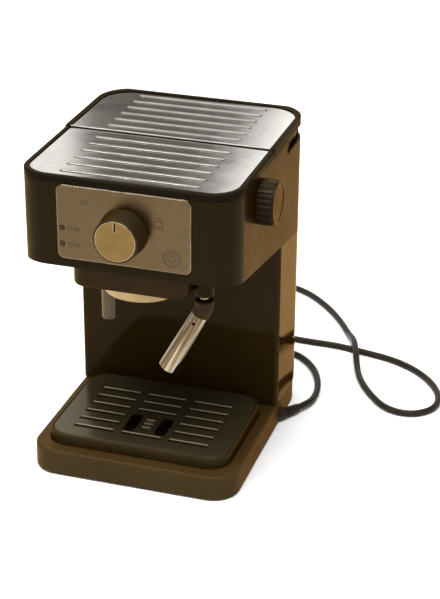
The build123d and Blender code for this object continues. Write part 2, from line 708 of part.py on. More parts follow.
# Tank lid: a rimmed cover that turns on two pins in lugs at the rear of the tank.
lid_axis_y = yb - lid_t / 2
lid_axis_z = lid_foot + lid_t / 2
lid = plan(body_w, body_d, corner_front, corner_back, lid_foot, body_h)
lid &= block(-half_w, half_w, lid_front, yb + 1, lid_foot, body_h)
keep = block(-half_w, half_w, lid_front, lid_axis_y, lid_foot, body_h)
keep += along_x(lid_axis_y, lid_axis_z, lid_t / 2, -half_w, half_w)
lid &= keep
sheet_top = body_h - bead_h
pocket_rear = lid_axis_y - lid_rear_rim
pocket_d = pocket_rear - yf
pocket_y = (pocket_rear + yf) / 2
lid_pocket = plan(body_w - 2 * rim_w, pocket_d, plate_corner, lid_corner,
                  sheet_top - plate_sheet, body_h + 5, pocket_y)
lid -= lid_pocket & block(-half_w, half_w, 0, yb, lid_foot, body_h + 5)
for side in (-1, 1):
    lx = side * lug_x
    notch_x = lug_w / 2 + touch_gap
    lid -= block(lx - notch_x, lx + notch_x, lid_axis_y - 4.2, yb + 2, lid_foot - 1, lid_axis_z + lug_open_h)
    lid -= along_x(lid_axis_y, lid_axis_z, lug_r + touch_gap, lx - notch_x, lx + notch_x)
    lid -= along_x(lid_axis_y, lid_axis_z, pin_r + pin_gap, lx - lug_w / 2 - 6, lx + lug_w / 2 + 6)
nodes["tank_lid"] = lid
lid_sheet = plan(body_w - 2 * rim_w - 0.4, pocket_d - 0.4, plate_corner, lid_corner - 0.2,
                 sheet_top - plate_sheet, sheet_top, pocket_y)
lid_sheet &= block(-half_w, half_w, lid_front + 0.4, yb, lid_foot, body_h)
for bar in beads(bead_margin, sheet_top):
    lid_sheet += bar
hem_x = half_w - rim_w - 0.2
hem = along_x(lid_front + 0.4 + hem_r, sheet_top, hem_r, -hem_x, hem_x)
lid_sheet += hem & block(-half_w, half_w, lid_front, lid_axis_y, sheet_top - plate_sheet / 2, body_h)
nodes["lid_plate"] = lid_sheet

# Water tank: an open box with lugs for the lid, an outlet valve and a strainer over it.
tank_x = half_w - wall - tank_side_gap
tank_back = yb - wall - 1.0
tank_d = tank_back - tank_front
tank_y = (tank_back + tank_front) / 2
tank = plan(2 * tank_x, tank_d, 6, corner_back - wall - 1, tank_foot, tank_top, tank_y)
tank -= plan(2 * (tank_x - tank_wall), tank_d - 2 * tank_wall, 4, corner_back - wall - 1 - tank_wall,
             tank_foot + tank_wall, tank_top + 1, tank_y)
tank += post(0, valve_y, valve_r, tank_foot - 10, tank_foot)
tank -= post(0, valve_y, valve_r - 2.5, tank_foot - 11, tank_foot + tank_wall + 1)
pins = []
for side in (-1, 1):
    lx = side * lug_x
    lug = block(lx - lug_w / 2, lx + lug_w / 2, tank_back - tank_wall, tank_back, tank_top - 12, lid_axis_z)
    lug += block(lx - lug_w / 2, lx + lug_w / 2, tank_back - 4, tank_back - tank_wall,
                 tank_top - 8, lid_axis_z)
    lug += along_x(lid_axis_y, lid_axis_z, lug_r, lx - lug_w / 2, lx + lug_w / 2)
    lug -= along_x(lid_axis_y, lid_axis_z, pin_r, lx - lug_w, lx + lug_w)
    tank += lug
    pins.append(along_x(lid_axis_y, lid_axis_z, pin_r, lx - lug_w / 2 - 5, lx + lug_w / 2 + 5))
nodes["water_tank"] = tank
nodes["lid_pins"] = Compound(pins)
valve = post(0, valve_y, 2.0, tank_foot - 9, tank_foot + 4)
valve += post(0, valve_y, valve_r - 2.5, tank_foot - 5, tank_foot - 3)
nodes["tank_valve"] = valve
strainer = post(0, valve_y, valve_r + 2, tank_foot + tank_wall, tank_foot + tank_wall + 12)
strainer -= post(0, valve_y, valve_r + 0.8, tank_foot + tank_wall - 1, tank_foot + tank_wall + 10.8)
for i in range(12):
    cut = Rot(0, 0, 30 * i) * block(valve_r, valve_r + 3, -1.2, 1.2, tank_foot + 4, tank_foot + 11)
    strainer -= Pos(0, valve_y, 0) * cut
nodes["tank_filter"] = strainer
socket_r = valve_r + socket_gap
tank_socket = post(0, valve_y, valve_r + 3.0, shelf_top - 16, shelf_top)
tank_socket += post(0, valve_y, valve_r + 6.0, shelf_top - shelf_t - 3, shelf_top - shelf_t)
tank_socket -= post(0, valve_y, socket_r, tank_foot - 12, shelf_top + 1)
tank_socket += post(0, valve_y, hose_r + 1, shelf_top - 22, shelf_top - 16)
tank_socket -= post(0, valve_y, 2.0, shelf_top - 23, shelf_top - 11)
nodes["tank_socket"] = tank_socket

# Vibration pump on rubber cradles, with the suction hose and the pressure hose.
coil_h = pump_coil / 2
pump = block(-coil_h, coil_h, pump_y - coil_h, pump_y + coil_h, pump_z - coil_h, pump_z + coil_h)
pump = fillet(pump.edges().filter_by(Axis.X), 4.0)
pump += along_x(pump_y, pump_z, pump_end_r, -coil_h - pump_end_l, coil_h + pump_end_l)
nodes["pump"] = pump
cradles = []
for side in (-1, 1):
    cx = side * (coil_h + 8)
    cradle = block(cx - 4, cx + 4, pump_y - 14, pump_y + 14, base_top, pump_z + 4)
    cradle -= along_x(pump_y, pump_z, pump_end_r, cx - 5, cx + 5)
    cradles.append(cradle)
nodes["pump_mounts"] = Compound(cradles)
pump_end = coil_h + pump_end_l
hose_turn = pump_end + 18
suction = [
    (0, valve_y, shelf_top - 22),
    (0, valve_y, shelf_top - 34),
    (hose_turn, valve_y, shelf_top - 34),
    (hose_turn, pump_y, pump_z),
    (pump_end, pump_y, pump_z),
]
nodes["suction_hose"] = tube(suction, hose_r, hose_bend)
duct_y = (column_front + part_wall_y) / 2 + 1
press_z = dome_top - 7
press_end = (-boiler_r * 0.8, group_y + boiler_r * 0.6)
pressure = [
    (-pump_end, pump_y, pump_z),
    (-hose_turn, pump_y, pump_z),
    (-hose_turn, duct_y, pump_z + 14),
    (-hose_turn, duct_y, press_z),
    (press_end[0], press_end[1], press_z),
]
pressure_hose = tube(pressure, pipe_r, hose_bend)
nodes["pressure_hose"] = pressure_hose - post(0, group_y, boiler_r, dome_z, dome_top)

# Mains terminals on the base deck, above the cord's way in.
terminals = block(wire_x - 14, wire_x + 14, wire_y - 10, wire_y + 10, base_top, base_top + 10)
for i in (-1, 0, 1):
    terminals += post(wire_x + 8 * i, wire_y - 5, 2.6, base_top + 10, base_top + 13)
    terminals += post(wire_x + 8 * i, wire_y + 5, 2.6, base_top + 10, base_top + 13)
terminals -= post(wire_x, wire_y, 2.5, base_top - 1, base_top + 14)
nodes["terminal_block"] = terminals

# Cord gland in the right wall of the base: a tapered, grooved boot aimed out and to the rear.
gland = Pos(0, 0, -gland_in / 2) * Cylinder(gland_r, gland_in)
gland += Pos(0, 0, gland_out / 2) * Cone(gland_r, cord_r + 1.0, gland_out)
for i in range(4):
    ring_cut = Circle(gland_r + 1) - Circle(cord_r + 0.9)
    gland -= Pos(0, 0, 5 + 3.6 * i) * extrude(ring_cut, 1.4)
gland -= Pos(0, 0, gland_out) * Cylinder(cord_r, 2 * cord_grip)
nodes["cord_gland"] = gland_at * Rot(0, 90, 0) * gland

# Mains cord lying on the worktop, from the gland by way of one open loop to the plug.
out_x = math.cos(math.radians(gland_turn))
out_y = math.sin(math.radians(gland_turn))
low_z = cord_r + 0.05
over_z = 3 * cord_r + 1.3
start = gland_out - cord_grip
leave = gland_out + 13
cord_points = [
    (base_w / 2 + start * out_x, gland_y + start * out_y, gland_z),
    (base_w / 2 + leave * out_x, gland_y + leave * out_y, gland_z),
    (124.5, 101.0, low_z),
    (119.0, 133.0, low_z),
    (104.0, 164.0, low_z),
    (80.0, 186.0, low_z),
    (54.0, 186.0, low_z),
    (30.0, 168.0, low_z),
    (2.0, 166.0, low_z),
    (-19.0, 186.0, low_z),
    (-19.0, 215.0, low_z),
    (2.0, 235.0, low_z),
    (31.0, 233.0, low_z),
    (56.0, 219.5, low_z),
    (86.0, 216.8, low_z),
    (117.0, 217.5, low_z),
    (150.0, 211.0, low_z),
    (182.0, 204.0, low_z),
    (210.0, 189.0, low_z),
    (233.0, 166.0, low_z),
    (246.5, 138.0, low_z),
    (246.0, 111.0, low_z),
    (226.5, 92.5, low_z),
    (199.0, 96.0, low_z),
    (177.0, 121.0, low_z),
    (160.0, 148.0, low_z),
    (150.0, 175.0, low_z),
    (142.6, 199.5, over_z),
    (134.5, 224.0, over_z),
    (124.0, 247.0, low_z),
    (107.0, 277.0, low_z),
    (83.0, 309.0, low_z),
    (51.0, 339.0, low_z),
    (14.0, 352.0, low_z),
    (-24.0, 346.0, low_z),
    (-54.0, 322.0, low_z),
    (-66.0, 286.0, low_z),
    (-62.0, 252.0, low_z),
]


def cord_radii(points):
    radii = []
    for a, b, c in zip(points, points[1:], points[2:]):
        u = Vector(*b) - Vector(*a)
        v = Vector(*c) - Vector(*b)
        half = math.radians(u.get_angle(v)) / 2
        radii.append(min(0.45 * min(u.length, v.length) / math.tan(half), 900.0))
    return radii


cord_path = FilletPolyline(*cord_points, radius=cord_radii(cord_points))
cord = sweep(Plane(origin=cord_path @ 0, z_dir=cord_path % 0) * Circle(cord_r), path=cord_path)
nodes["power_cord"] = cord

# Plug at the far end of the cord, a generic flat two-pin type.
end = cord_path @ 1
aim = cord_path % 1
plug_at = Plane(origin=end, z_dir=aim, x_dir=(-aim.Y, aim.X, 0))
plug = loft([
    plug_at * RectangleRounded(2 * cord_r + 2.4, 2 * low_z, 2.8),
    plug_at.offset(12) * RectangleRounded(plug_w * 0.8, 2 * low_z, 2.8),
    plug_at.offset(plug_l) * RectangleRounded(plug_w * 1.6, 2 * low_z, 2.8),
], ruled=True)
nodes["plug_body"] = plug
prongs = []
for side in (-1, 1):
    prong = extrude(plug_at.offset(plug_l) * Pos(side * 9.5, 0) * Circle(2.0), 19)
    prongs.append(prong)
nodes["plug_pins"] = Compound(prongs)

mid_x = (tap_tip - half_w) / 2
mid_y = (mark_face + yb) / 2
for name, shape in nodes.items():
    export_step(Pos(-mid_x, -mid_y, 0) * shape, f"parts/{name}.step")
print("origin moved by", round(mid_x, 3), round(mid_y, 3))
print("bend radii of the cord", [round(r, 1) for r in cord_radii(cord_points)])
print("cord length", round(cord_path.length, 1))
print("cord volume", round(cord.volume), "section by length", round(math.pi * cord_r**2 * cord_path.length))
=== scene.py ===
import bpy
from mathutils import Matrix, Vector


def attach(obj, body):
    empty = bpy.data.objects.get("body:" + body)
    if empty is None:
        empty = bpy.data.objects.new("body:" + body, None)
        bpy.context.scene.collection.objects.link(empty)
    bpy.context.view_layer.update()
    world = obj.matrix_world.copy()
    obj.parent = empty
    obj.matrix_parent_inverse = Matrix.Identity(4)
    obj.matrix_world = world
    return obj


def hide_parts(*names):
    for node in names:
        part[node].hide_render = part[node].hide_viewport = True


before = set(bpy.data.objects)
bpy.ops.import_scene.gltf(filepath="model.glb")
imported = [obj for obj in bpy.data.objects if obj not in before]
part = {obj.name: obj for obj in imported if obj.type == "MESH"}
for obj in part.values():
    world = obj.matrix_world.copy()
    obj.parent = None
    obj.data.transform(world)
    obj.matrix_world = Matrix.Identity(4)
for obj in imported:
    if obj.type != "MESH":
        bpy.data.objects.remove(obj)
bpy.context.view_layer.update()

# Worktop: a pale matt sheet under the machine, running on far behind it, so that no edge of it shows.
# It is seen from a standing person's height, a little to the machine's right, through a long lens.
scene = bpy.context.scene


def new_finish(name, rough, metal=0.0, gloss=0.5):
    finish = bpy.data.materials.new(name)
    finish.use_nodes = True
    shader = finish.node_tree.nodes["Principled BSDF"]
    shader.inputs["Roughness"].default_value = rough
    shader.inputs["Metallic"].default_value = metal
    shader.inputs["Specular IOR Level"].default_value = gloss
    return finish, finish.node_tree, shader


def add(tree, kind, **sockets):
    node = tree.nodes.new(kind)
    for name, value in sockets.items():
        node.inputs[name].default_value = value
    return node


def ramp(tree, source, *stops):
    node = tree.nodes.new("ShaderNodeValToRGB")
    while len(node.color_ramp.elements) < len(stops):
        node.color_ramp.elements.new(0.5)
    for element, (place, colour) in zip(node.color_ramp.elements, stops):
        element.position = place
        element.color = (*colour, 1)
    tree.links.new(source, node.inputs["Fac"])
    return node.outputs["Color"]


def vary(tree, shader, socket, source, *stops):
    tree.links.new(ramp(tree, source, *stops), shader.inputs[socket])


def grey(value):
    return (value, value, value)


left, right, near, far = -9, 9, -6, 12
sheet = bpy.data.meshes.new("worktop")
sheet.from_pydata([(left, near, 0), (right, near, 0), (right, far, 0), (left, far, 0)], [], [(0, 1, 2, 3)])
worktop = bpy.data.objects.new("worktop", sheet)
scene.collection.objects.link(worktop)
worktop_matt, tree, shader = new_finish("worktop_matt", rough=0.85, gloss=0.1)
mottle = add(tree, "ShaderNodeTexNoise", Scale=2.5, Detail=3.0)
vary(tree, shader, "Base Color", mottle.outputs["Fac"], (0.3, grey(0.87)), (0.7, grey(0.89)))
sheet.materials.append(worktop_matt)

camera = bpy.data.objects.new("camera", bpy.data.cameras.new("camera"))
camera.data.sensor_width = 36
camera.data.lens = 103.72
eye = Vector((0.48478, -1.40614, 0.86964))
across = Vector((0.953703, 0.300674, 0.006803))
upward = Vector((-0.137148, 0.414664, 0.899580))
behind = Vector((0.267659, -0.858865, 0.436703))
camera.matrix_world = Matrix((
    (across.x, upward.x, behind.x, eye.x),
    (across.y, upward.y, behind.y, eye.y),
    (across.z, upward.z, behind.z, eye.z),
    (0, 0, 0, 1)))
scene.collection.objects.link(camera)
scene.camera = camera

# Light: soft studio panels in a dim, warm room. A wide one overhead only fills, a strip beside it gives the
# thin highlights, a weaker one stands in front, and two tall ones behind put the bright ends on the steel top.
world = bpy.data.worlds.new("room")
world.use_nodes = True
air = world.node_tree.nodes["Background"]
air.inputs["Color"].default_value = (1.0, 0.94, 0.86, 1)
air.inputs["Strength"].default_value = 0.28
scene.world = world
scene.view_settings.view_transform = "Standard"


def soft_panel(name, place, aim, wide, tall, power, colour=(1, 1, 1)):
    lamp = bpy.data.lights.new(name, "AREA")
    lamp.shape = "RECTANGLE"
    lamp.size = wide
    lamp.size_y = tall
    lamp.energy = power
    lamp.color = colour
    holder = bpy.data.objects.new(name, lamp)
    holder.location = place
    holder.rotation_euler = (Vector(aim) - Vector(place)).to_track_quat("-Z", "Y").to_euler()
    scene.collection.objects.link(holder)
    return holder


overhead = soft_panel("panel_overhead", (-0.2, 0.1, 2.6), (0, 0.2, 0), wide=3.8, tall=3.6, power=98)
overhead.visible_glossy = False
soft_panel("strip_overhead", (-0.1, -0.5, 2.4), (0, 0, 0.3), wide=2.4, tall=0.40, power=62)
soft_panel("panel_front", (-1.2, -2.6, 2.0), (0, 0, 0.1), wide=2.0, tall=1.6, power=12, colour=(1.0, 0.96, 0.9))
soft_panel("panel_back_left", (-1.64, 2.46, 1.4), (0, 0, 0.3), wide=1.0, tall=1.6, power=9)
back_right = soft_panel("panel_back_right", (-0.28, 2.98, 1.4), (0, 0, 0.3), wide=0.8, tall=1.6, power=11)
panel_tilt = -0.5
back_right.rotation_euler.rotate_axis("Z", panel_tilt)

# Base: one low black moulding with a sunken well, closed by a screwed plate on four rubber feet.
# Its fine-grained skin carries a painted edge highlight, a little paler along the edges, and a tinted clear film
# over it gives the black a brown cast.


def coat(finish, *names):
    for name in names:
        slots = part[name].data.materials
        slots.clear()
        slots.append(finish)


def shade(colour, share):
    return tuple(share * c for c in colour)


def patches(tree, place, **look):
    noise = add(tree, "ShaderNodeTexNoise", **look)
    tree.links.new(place.outputs["Object"], noise.inputs["Vector"])
    return noise.outputs["Fac"]


def grain(tree, scale, strength, depth, normal=None):
    place = tree.nodes.new("ShaderNodeTexCoord")
    bump = add(tree, "ShaderNodeBump", Strength=strength, Distance=depth)
    tree.links.new(patches(tree, place, Scale=scale, Detail=2.0), bump.inputs["Height"])
    if normal:
        tree.links.new(normal, bump.inputs["Normal"])
    return bump.outputs["Normal"]


def lacquer(tree, shader, tint):
    thins_from = 0.77
    shader.inputs["Coat Weight"].default_value = 1.0
    shader.inputs["Coat IOR"].default_value = 1.0
    slant = add(tree, "ShaderNodeLayerWeight", Blend=0.5)
    vary(tree, shader, "Coat Tint", slant.outputs["Facing"], (thins_from, tint), (1.0, grey(1.0)))


def blended(tree, share, under, over):
    mix = tree.nodes.new("ShaderNodeMix")
    mix.data_type = "RGBA"
    tree.links.new(share, mix.inputs["Factor"])
    tree.links.new(under, mix.inputs["A"])
    mix.inputs["B"].default_value = (*over, 1)
    return mix.outputs["Result"]


# Mixes a lighter colour onto rounded edges, found from the bevelled normal: a painted edge highlight.
def painted_edge_highlight(tree, skin, lighter, radius, most=0.65):
    sharp, flat = 0.80, 0.985
    rounded = add(tree, "ShaderNodeBevel", Radius=radius)
    rounded.samples = 4
    face = tree.nodes.new("ShaderNodeNewGeometry")
    turn = tree.nodes.new("ShaderNodeVectorMath")
    turn.operation = "DOT_PRODUCT"
    tree.links.new(rounded.outputs["Normal"], turn.inputs[0])
    tree.links.new(face.outputs["Normal"], turn.inputs[1])
    highlight_share = ramp(tree, turn.outputs["Value"], (sharp, grey(most)), (flat, grey(0.0)))
    return blended(tree, highlight_share, skin, lighter), rounded.outputs["Normal"]


def above(tree, place, level):
    height = tree.nodes.new("ShaderNodeSeparateXYZ")
    tree.links.new(place.outputs["Object"], height.inputs["Vector"])
    proud = tree.nodes.new("ShaderNodeMath")
    proud.operation = "GREATER_THAN"
    proud.inputs[1].default_value = level
    tree.links.new(height.outputs["Z"], proud.inputs[0])
    return proud.outputs["Value"]


def moulded(name, colour, lighter, rough, gloss, speck=1100.0, depth=0.00012, edge=0.0009,
            warm=(0.973, 0.857, 0.687), raised=None):
    finish, tree, shader = new_finish(name, rough, gloss=gloss)
    place = tree.nodes.new("ShaderNodeTexCoord")
    cloud = patches(tree, place, Scale=14.0, Detail=6.0, Roughness=0.6)
    skin = ramp(tree, cloud, (0.3, colour), (0.75, shade(colour, 1.25)))
    # Rounded edges get the lighter colour as a painted edge highlight.
    tone, soft_edge = painted_edge_highlight(tree, skin, lighter, edge)
    # Above the level given as raised, the lighter colour is painted on as a highlight.
    if raised is not None:
        tone = blended(tree, above(tree, place, raised), tone, lighter)
    tree.links.new(tone, shader.inputs["Base Color"])
    vary(tree, shader, "Roughness", cloud, (0.25, grey(rough - 0.06)), (0.75, grey(rough + 0.08)))
    tree.links.new(grain(tree, speck, 0.3, depth, soft_edge), shader.inputs["Normal"])
    lacquer(tree, shader, warm)
    return finish


def rubber(name, colour, lighter, rough, gloss):
    finish, tree, shader = new_finish(name, rough, gloss=gloss)
    place = tree.nodes.new("ShaderNodeTexCoord")
    cloud = patches(tree, place, Scale=60.0, Detail=5.0)
    vary(tree, shader, "Base Color", cloud, (0.35, colour), (0.72, lighter))
    vary(tree, shader, "Roughness", cloud, (0.3, grey(rough - 0.1)), (0.7, grey(rough + 0.1)))
    tree.links.new(grain(tree, 1400, 0.25, 0.0002), shader.inputs["Normal"])
    return finish


def plated(name, colour, rough, scratch=260.0, dent=0.2):
    finish, tree, shader = new_finish(name, rough, metal=1.0)
    place = tree.nodes.new("ShaderNodeTexCoord")
    cloud = patches(tree, place, Scale=scratch, Detail=6.0, Distortion=0.4)
    vary(tree, shader, "Base Color", cloud, (0.3, shade(colour, 0.72)), (0.7, colour))
    vary(tree, shader, "Roughness", cloud, (0.3, grey(rough + 0.12)), (0.7, grey(rough - 0.04)))
    tree.links.new(grain(tree, 3 * scratch, dent, 0.0001), shader.inputs["Normal"])
    return finish


base_moulding = moulded("base_moulding", (0.041, 0.029, 0.0125), (0.060, 0.046, 0.024), rough=0.34, gloss=0.08)
coat(base_moulding, "base_shell", "base_plate")
foot_rubber = rubber("foot_rubber", (0.010, 0.010, 0.010), (0.020, 0.019, 0.018), rough=0.8, gloss=0.2)
coat(foot_rubber, "feet")
zinc = plated("zinc", (0.60, 0.60, 0.58), rough=0.32)
coat(zinc, "base_screws")

# Column: a tall casing behind the cup space, moulded in glossy black, with the tank bay's shelf and
# partition inside it. Its smooth skin mirrors what stands near and carries fine wipe marks.
gloss_moulding = moulded("gloss_moulding", (0.0205, 0.0136, 0.0037), (0.034, 0.025, 0.012),
                         rough=0.09, gloss=0.060, speck=40.0, depth=0.00008)
coat(gloss_moulding, "column_shell")
bay_moulding = moulded("bay_moulding", (0.030, 0.027, 0.023), (0.08, 0.07, 0.06), rough=0.5, gloss=0.3)
coat(bay_moulding, "tank_bay")

# Pump on rubber cradles, hoses and mains terminals, all inside the column below the tank bay.
# The pump is a moulded coil; the hoses are milky silicone; the terminals are a grey moulded block.
cradle_rubber = rubber("cradle_rubber", (0.016, 0.015, 0.014), (0.030, 0.028, 0.026), rough=0.75, gloss=0.25)
coat(cradle_rubber, "pump_mounts")
pump_moulding = moulded("pump_moulding", (0.055, 0.055, 0.062), (0.13, 0.13, 0.14), rough=0.45, gloss=0.4)
coat(pump_moulding, "pump")
grey_moulding = moulded("grey_moulding", (0.26, 0.25, 0.23), (0.40, 0.39, 0.36), rough=0.45, gloss=0.4)
coat(grey_moulding, "terminal_block")


def milky(name, colour, through, rough, film=None):
    finish, tree, shader = new_finish(name, rough)
    place = tree.nodes.new("ShaderNodeTexCoord")
    cloud = patches(tree, place, Scale=90.0, Detail=4.0)
    vary(tree, shader, "Base Color", cloud, (0.3, shade(colour, 0.82)), (0.7, colour))
    vary(tree, shader, "Roughness", cloud, (0.3, grey(rough)), (0.7, grey(rough + 0.12)))
    tree.links.new(grain(tree, 700, 0.15, 0.0002), shader.inputs["Normal"])
    shader.inputs["Transmission Weight"].default_value = through
    if film:
        lacquer(tree, shader, film)
    return finish


silicone = milky("silicone", (0.72, 0.71, 0.66), through=0.35, rough=0.35)
coat(silicone, "suction_hose", "pressure_hose", "relief_hose")

# Mains cord: round black flex, held in a rubber boot low on the base's right side. It goes behind the column,
# comes out again in one open loop on the worktop and runs on behind the machine to its moulded plug.
cord_thick = 0.0065
low, over = 0.0033, 0.01105
cord_points = [
    (0.10133, 0.07022, 0.0062), (0.11338, 0.08742, 0.0062), (0.1163, 0.11225, low), (0.1108, 0.14425, low),
    (0.0958, 0.17525, low), (0.0718, 0.19725, low), (0.0458, 0.19725, low), (0.0218, 0.17925, low),
    (-0.0062, 0.17725, low), (-0.0272, 0.19725, low), (-0.0272, 0.22625, low), (-0.0062, 0.24625, low),
    (0.0228, 0.24425, low), (0.0478, 0.23075, low), (0.0778, 0.22805, low), (0.1088, 0.22875, low),
    (0.1418, 0.22225, low), (0.1738, 0.21525, low), (0.2018, 0.20025, low), (0.2248, 0.17725, low),
    (0.2383, 0.14925, low), (0.2378, 0.12225, low), (0.2183, 0.10375, low), (0.1908, 0.10725, low),
    (0.1688, 0.13225, low), (0.1518, 0.15925, low), (0.1418, 0.18625, low), (0.1344, 0.21075, over),
    (0.1263, 0.23525, over), (0.1158, 0.25825, low), (0.0988, 0.28825, low), (0.0748, 0.32025, low),
    (0.0428, 0.35025, low), (0.0058, 0.36325, low), (-0.0322, 0.35725, low), (-0.0622, 0.33325, low),
    (-0.0742, 0.29725, low), (-0.0702, 0.26325, low)]
flex = bpy.data.curves.new("power_flex", "CURVE")
flex.dimensions = "3D"
line = flex.splines.new("NURBS")
line.points.add(len(cord_points) - 1)
for point, place in zip(line.points, cord_points):
    point.co = (*place, 1)
line.order_u = 3
line.use_endpoint_u = True
line.resolution_u = 8
flex.bevel_depth = cord_thick / 2
flex.bevel_resolution = 5
flex.use_fill_caps = True
power_flex = bpy.data.objects.new("power_flex", flex)
scene.collection.objects.link(power_flex)

flex_rubber = rubber("flex_rubber", (0.014, 0.0100, 0.0060), (0.024, 0.0180, 0.0110), rough=0.42, gloss=0.14)
flex.materials.append(flex_rubber)
coat(flex_rubber, "cord_gland", "plug_body")
coat(zinc, "plug_pins")
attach(power_flex, "housing")
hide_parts("power_cord")

# Head: a rounded band of black wall, its sloped floor, the deck under the cup plate, and the shroud that
# hangs round the group. All are black mouldings; the shroud's front is plain.
black_moulding = moulded("black_moulding", (0.0125, 0.0088, 0.0024), (0.021, 0.015, 0.008), rough=0.34, gloss=0.058)
coat(black_moulding, "head_shell", "head_floor")
shroud_moulding = moulded("shroud_moulding", (0.0220, 0.0140, 0.0046), (0.032, 0.023, 0.011), rough=0.36, gloss=0.08)
coat(shroud_moulding, "group_shroud")
rim_moulding = moulded("rim_moulding", (0.0085, 0.0070, 0.0042), (0.013, 0.011, 0.008),
                       rough=0.40, gloss=0.022, warm=(0.97, 0.89, 0.76))
coat(rim_moulding, "cup_deck")

# Group: a turned bayonet ring under the shroud, which steam has tinted. A rubber seal lies in it, and one
# screw holds the pierced shower plate in its middle.


# Paints the rim colour fully onto rounded edges: a painted edge highlight.
def painted_rim_highlight(tree, tone, rim):
    return painted_edge_highlight(tree, tone, rim, radius=0.0018, most=1.0)


def turned(name, colour, rough, axis, centre, rings=2600.0, film=None, rim=None):
    finish, tree, shader = new_finish(name, rough, metal=1.0)
    place = tree.nodes.new("ShaderNodeTexCoord")
    shift = tree.nodes.new("ShaderNodeVectorMath")
    shift.operation = "SUBTRACT"
    shift.inputs[1].default_value = centre
    tree.links.new(place.outputs["Object"], shift.inputs[0])
    squash = tree.nodes.new("ShaderNodeVectorMath")
    squash.operation = "MULTIPLY"
    squash.inputs[1].default_value = tuple(0.0 if letter == axis else 1.0 for letter in "XYZ")
    tree.links.new(shift.outputs["Vector"], squash.inputs[0])
    reach = tree.nodes.new("ShaderNodeVectorMath")
    reach.operation = "LENGTH"
    tree.links.new(squash.outputs["Vector"], reach.inputs[0])
    ring = add(tree, "ShaderNodeTexNoise", Scale=rings, Detail=3.0)
    ring.noise_dimensions = "1D"
    tree.links.new(reach.outputs["Value"], ring.inputs["W"])
    cloud = patches(tree, place, Scale=45.0, Detail=4.0)
    tone = ramp(tree, cloud, (0.3, shade(colour, 0.78)), (0.7, colour))
    if rim:
        tone, _ = painted_rim_highlight(tree, tone, rim)
    tree.links.new(tone, shader.inputs["Base Color"])
    vary(tree, shader, "Roughness", ring.outputs["Fac"], (0.3, grey(rough - 0.07)), (0.7, grey(rough + 0.09)))
    bump = add(tree, "ShaderNodeBump", Strength=0.12, Distance=0.0001)
    tree.links.new(ring.outputs["Fac"], bump.inputs["Height"])
    tree.links.new(bump.outputs["Normal"], shader.inputs["Normal"])
    around = tree.nodes.new("ShaderNodeTangent")
    around.direction_type = "RADIAL"
    around.axis = axis
    tree.links.new(around.outputs["Tangent"], shader.inputs["Tangent"])
    shader.inputs["Anisotropic"].default_value = 0.6
    shader.inputs["Anisotropic Rotation"].default_value = 0.25
    if film:
        lacquer(tree, shader, film)
    return finish


group_centre = (-0.0082, -0.05675, 0)
group_steel = turned("group_steel", (0.40, 0.285, 0.138), rough=0.30, axis="Z", centre=group_centre)
coat(group_steel, "group_collar", "shower_screen", "shower_screw")
coat(foot_rubber, "group_gasket")

# Boiler: two cast halves on top of the group, screwed together round a rubber seal, with a heater and its
# grey heat cut-outs. The relief spout, a smoky moulding, drips behind the shroud.
cast_alloy = plated("cast_alloy", (0.52, 0.52, 0.51), rough=0.52, scratch=90.0)
coat(cast_alloy, "boiler_lower", "boiler_upper")
coat(foot_rubber, "boiler_gasket")
coat(zinc, "boiler_screws", "heating_element")
coat(grey_moulding, "heat_cutouts")
spout_milky = milky("spout_milky", (0.088, 0.063, 0.030), through=0.2, rough=0.2, film=(0.96, 0.86, 0.68))
coat(spout_milky, "relief_spout")

# Front panel: a thin plate with rounded corners, stuck to the head, brushed across and printed with signs; its edge
# carries a painted highlight in a bright colour. Two lamps look through it and are lit by a small board behind.


def brushed(name, colour, rough, tangent, smear, shine=0.75, raised=None, rim=None):
    fine, long, streak, satin_rough = 2400.0, 26.0, 0.25, 0.33
    finish, tree, shader = new_finish(name, rough, metal=1.0)
    place = tree.nodes.new("ShaderNodeTexCoord")
    stretch = add(tree, "ShaderNodeMapping", Scale=(long, fine, fine))
    tree.links.new(place.outputs["Object"], stretch.inputs["Vector"])
    lines = add(tree, "ShaderNodeTexNoise", Scale=1.0, Detail=4.0, Roughness=0.65)
    tree.links.new(stretch.outputs["Vector"], lines.inputs["Vector"])
    touch = patches(tree, place, Scale=22.0, Detail=5.0, Roughness=0.6, Distortion=0.6)
    tone = ramp(tree, lines.outputs["Fac"], (0.3, shade(colour, 1 - streak)), (0.7, colour))
    mark = ramp(tree, touch, (0.35, grey(0.80)), (0.65, grey(1.0)))
    dull = tree.nodes.new("ShaderNodeMix")
    dull.data_type = "RGBA"
    dull.blend_type = "MULTIPLY"
    dull.inputs["Factor"].default_value = 1.0
    tree.links.new(tone, dull.inputs["A"])
    tree.links.new(mark, dull.inputs["B"])
    tone = dull.outputs["Result"]
    bump = add(tree, "ShaderNodeBump", Strength=0.10, Distance=0.00008)
    tree.links.new(lines.outputs["Fac"], bump.inputs["Height"])
    if rim:
        tone, soft_edge = painted_rim_highlight(tree, tone, rim)
        tree.links.new(soft_edge, bump.inputs["Normal"])
    tree.links.new(tone, shader.inputs["Base Color"])
    matt = ramp(tree, touch, (0.3, grey(rough - smear)), (0.7, grey(rough + smear)))
    if raised is not None:
        satin = tree.nodes.new("ShaderNodeMix")
        satin.inputs["B"].default_value = satin_rough
        tree.links.new(above(tree, place, raised), satin.inputs["Factor"])
        tree.links.new(matt, satin.inputs["A"])
        matt = satin.outputs["Result"]
    tree.links.new(matt, shader.inputs["Roughness"])
    tree.links.new(bump.outputs["Normal"], shader.inputs["Normal"])
    way = add(tree, "ShaderNodeCombineXYZ", **{tangent: 1.0})
    tree.links.new(way.outputs["Vector"], shader.inputs["Tangent"])
    shader.inputs["Anisotropic"].default_value = shine
    return finish


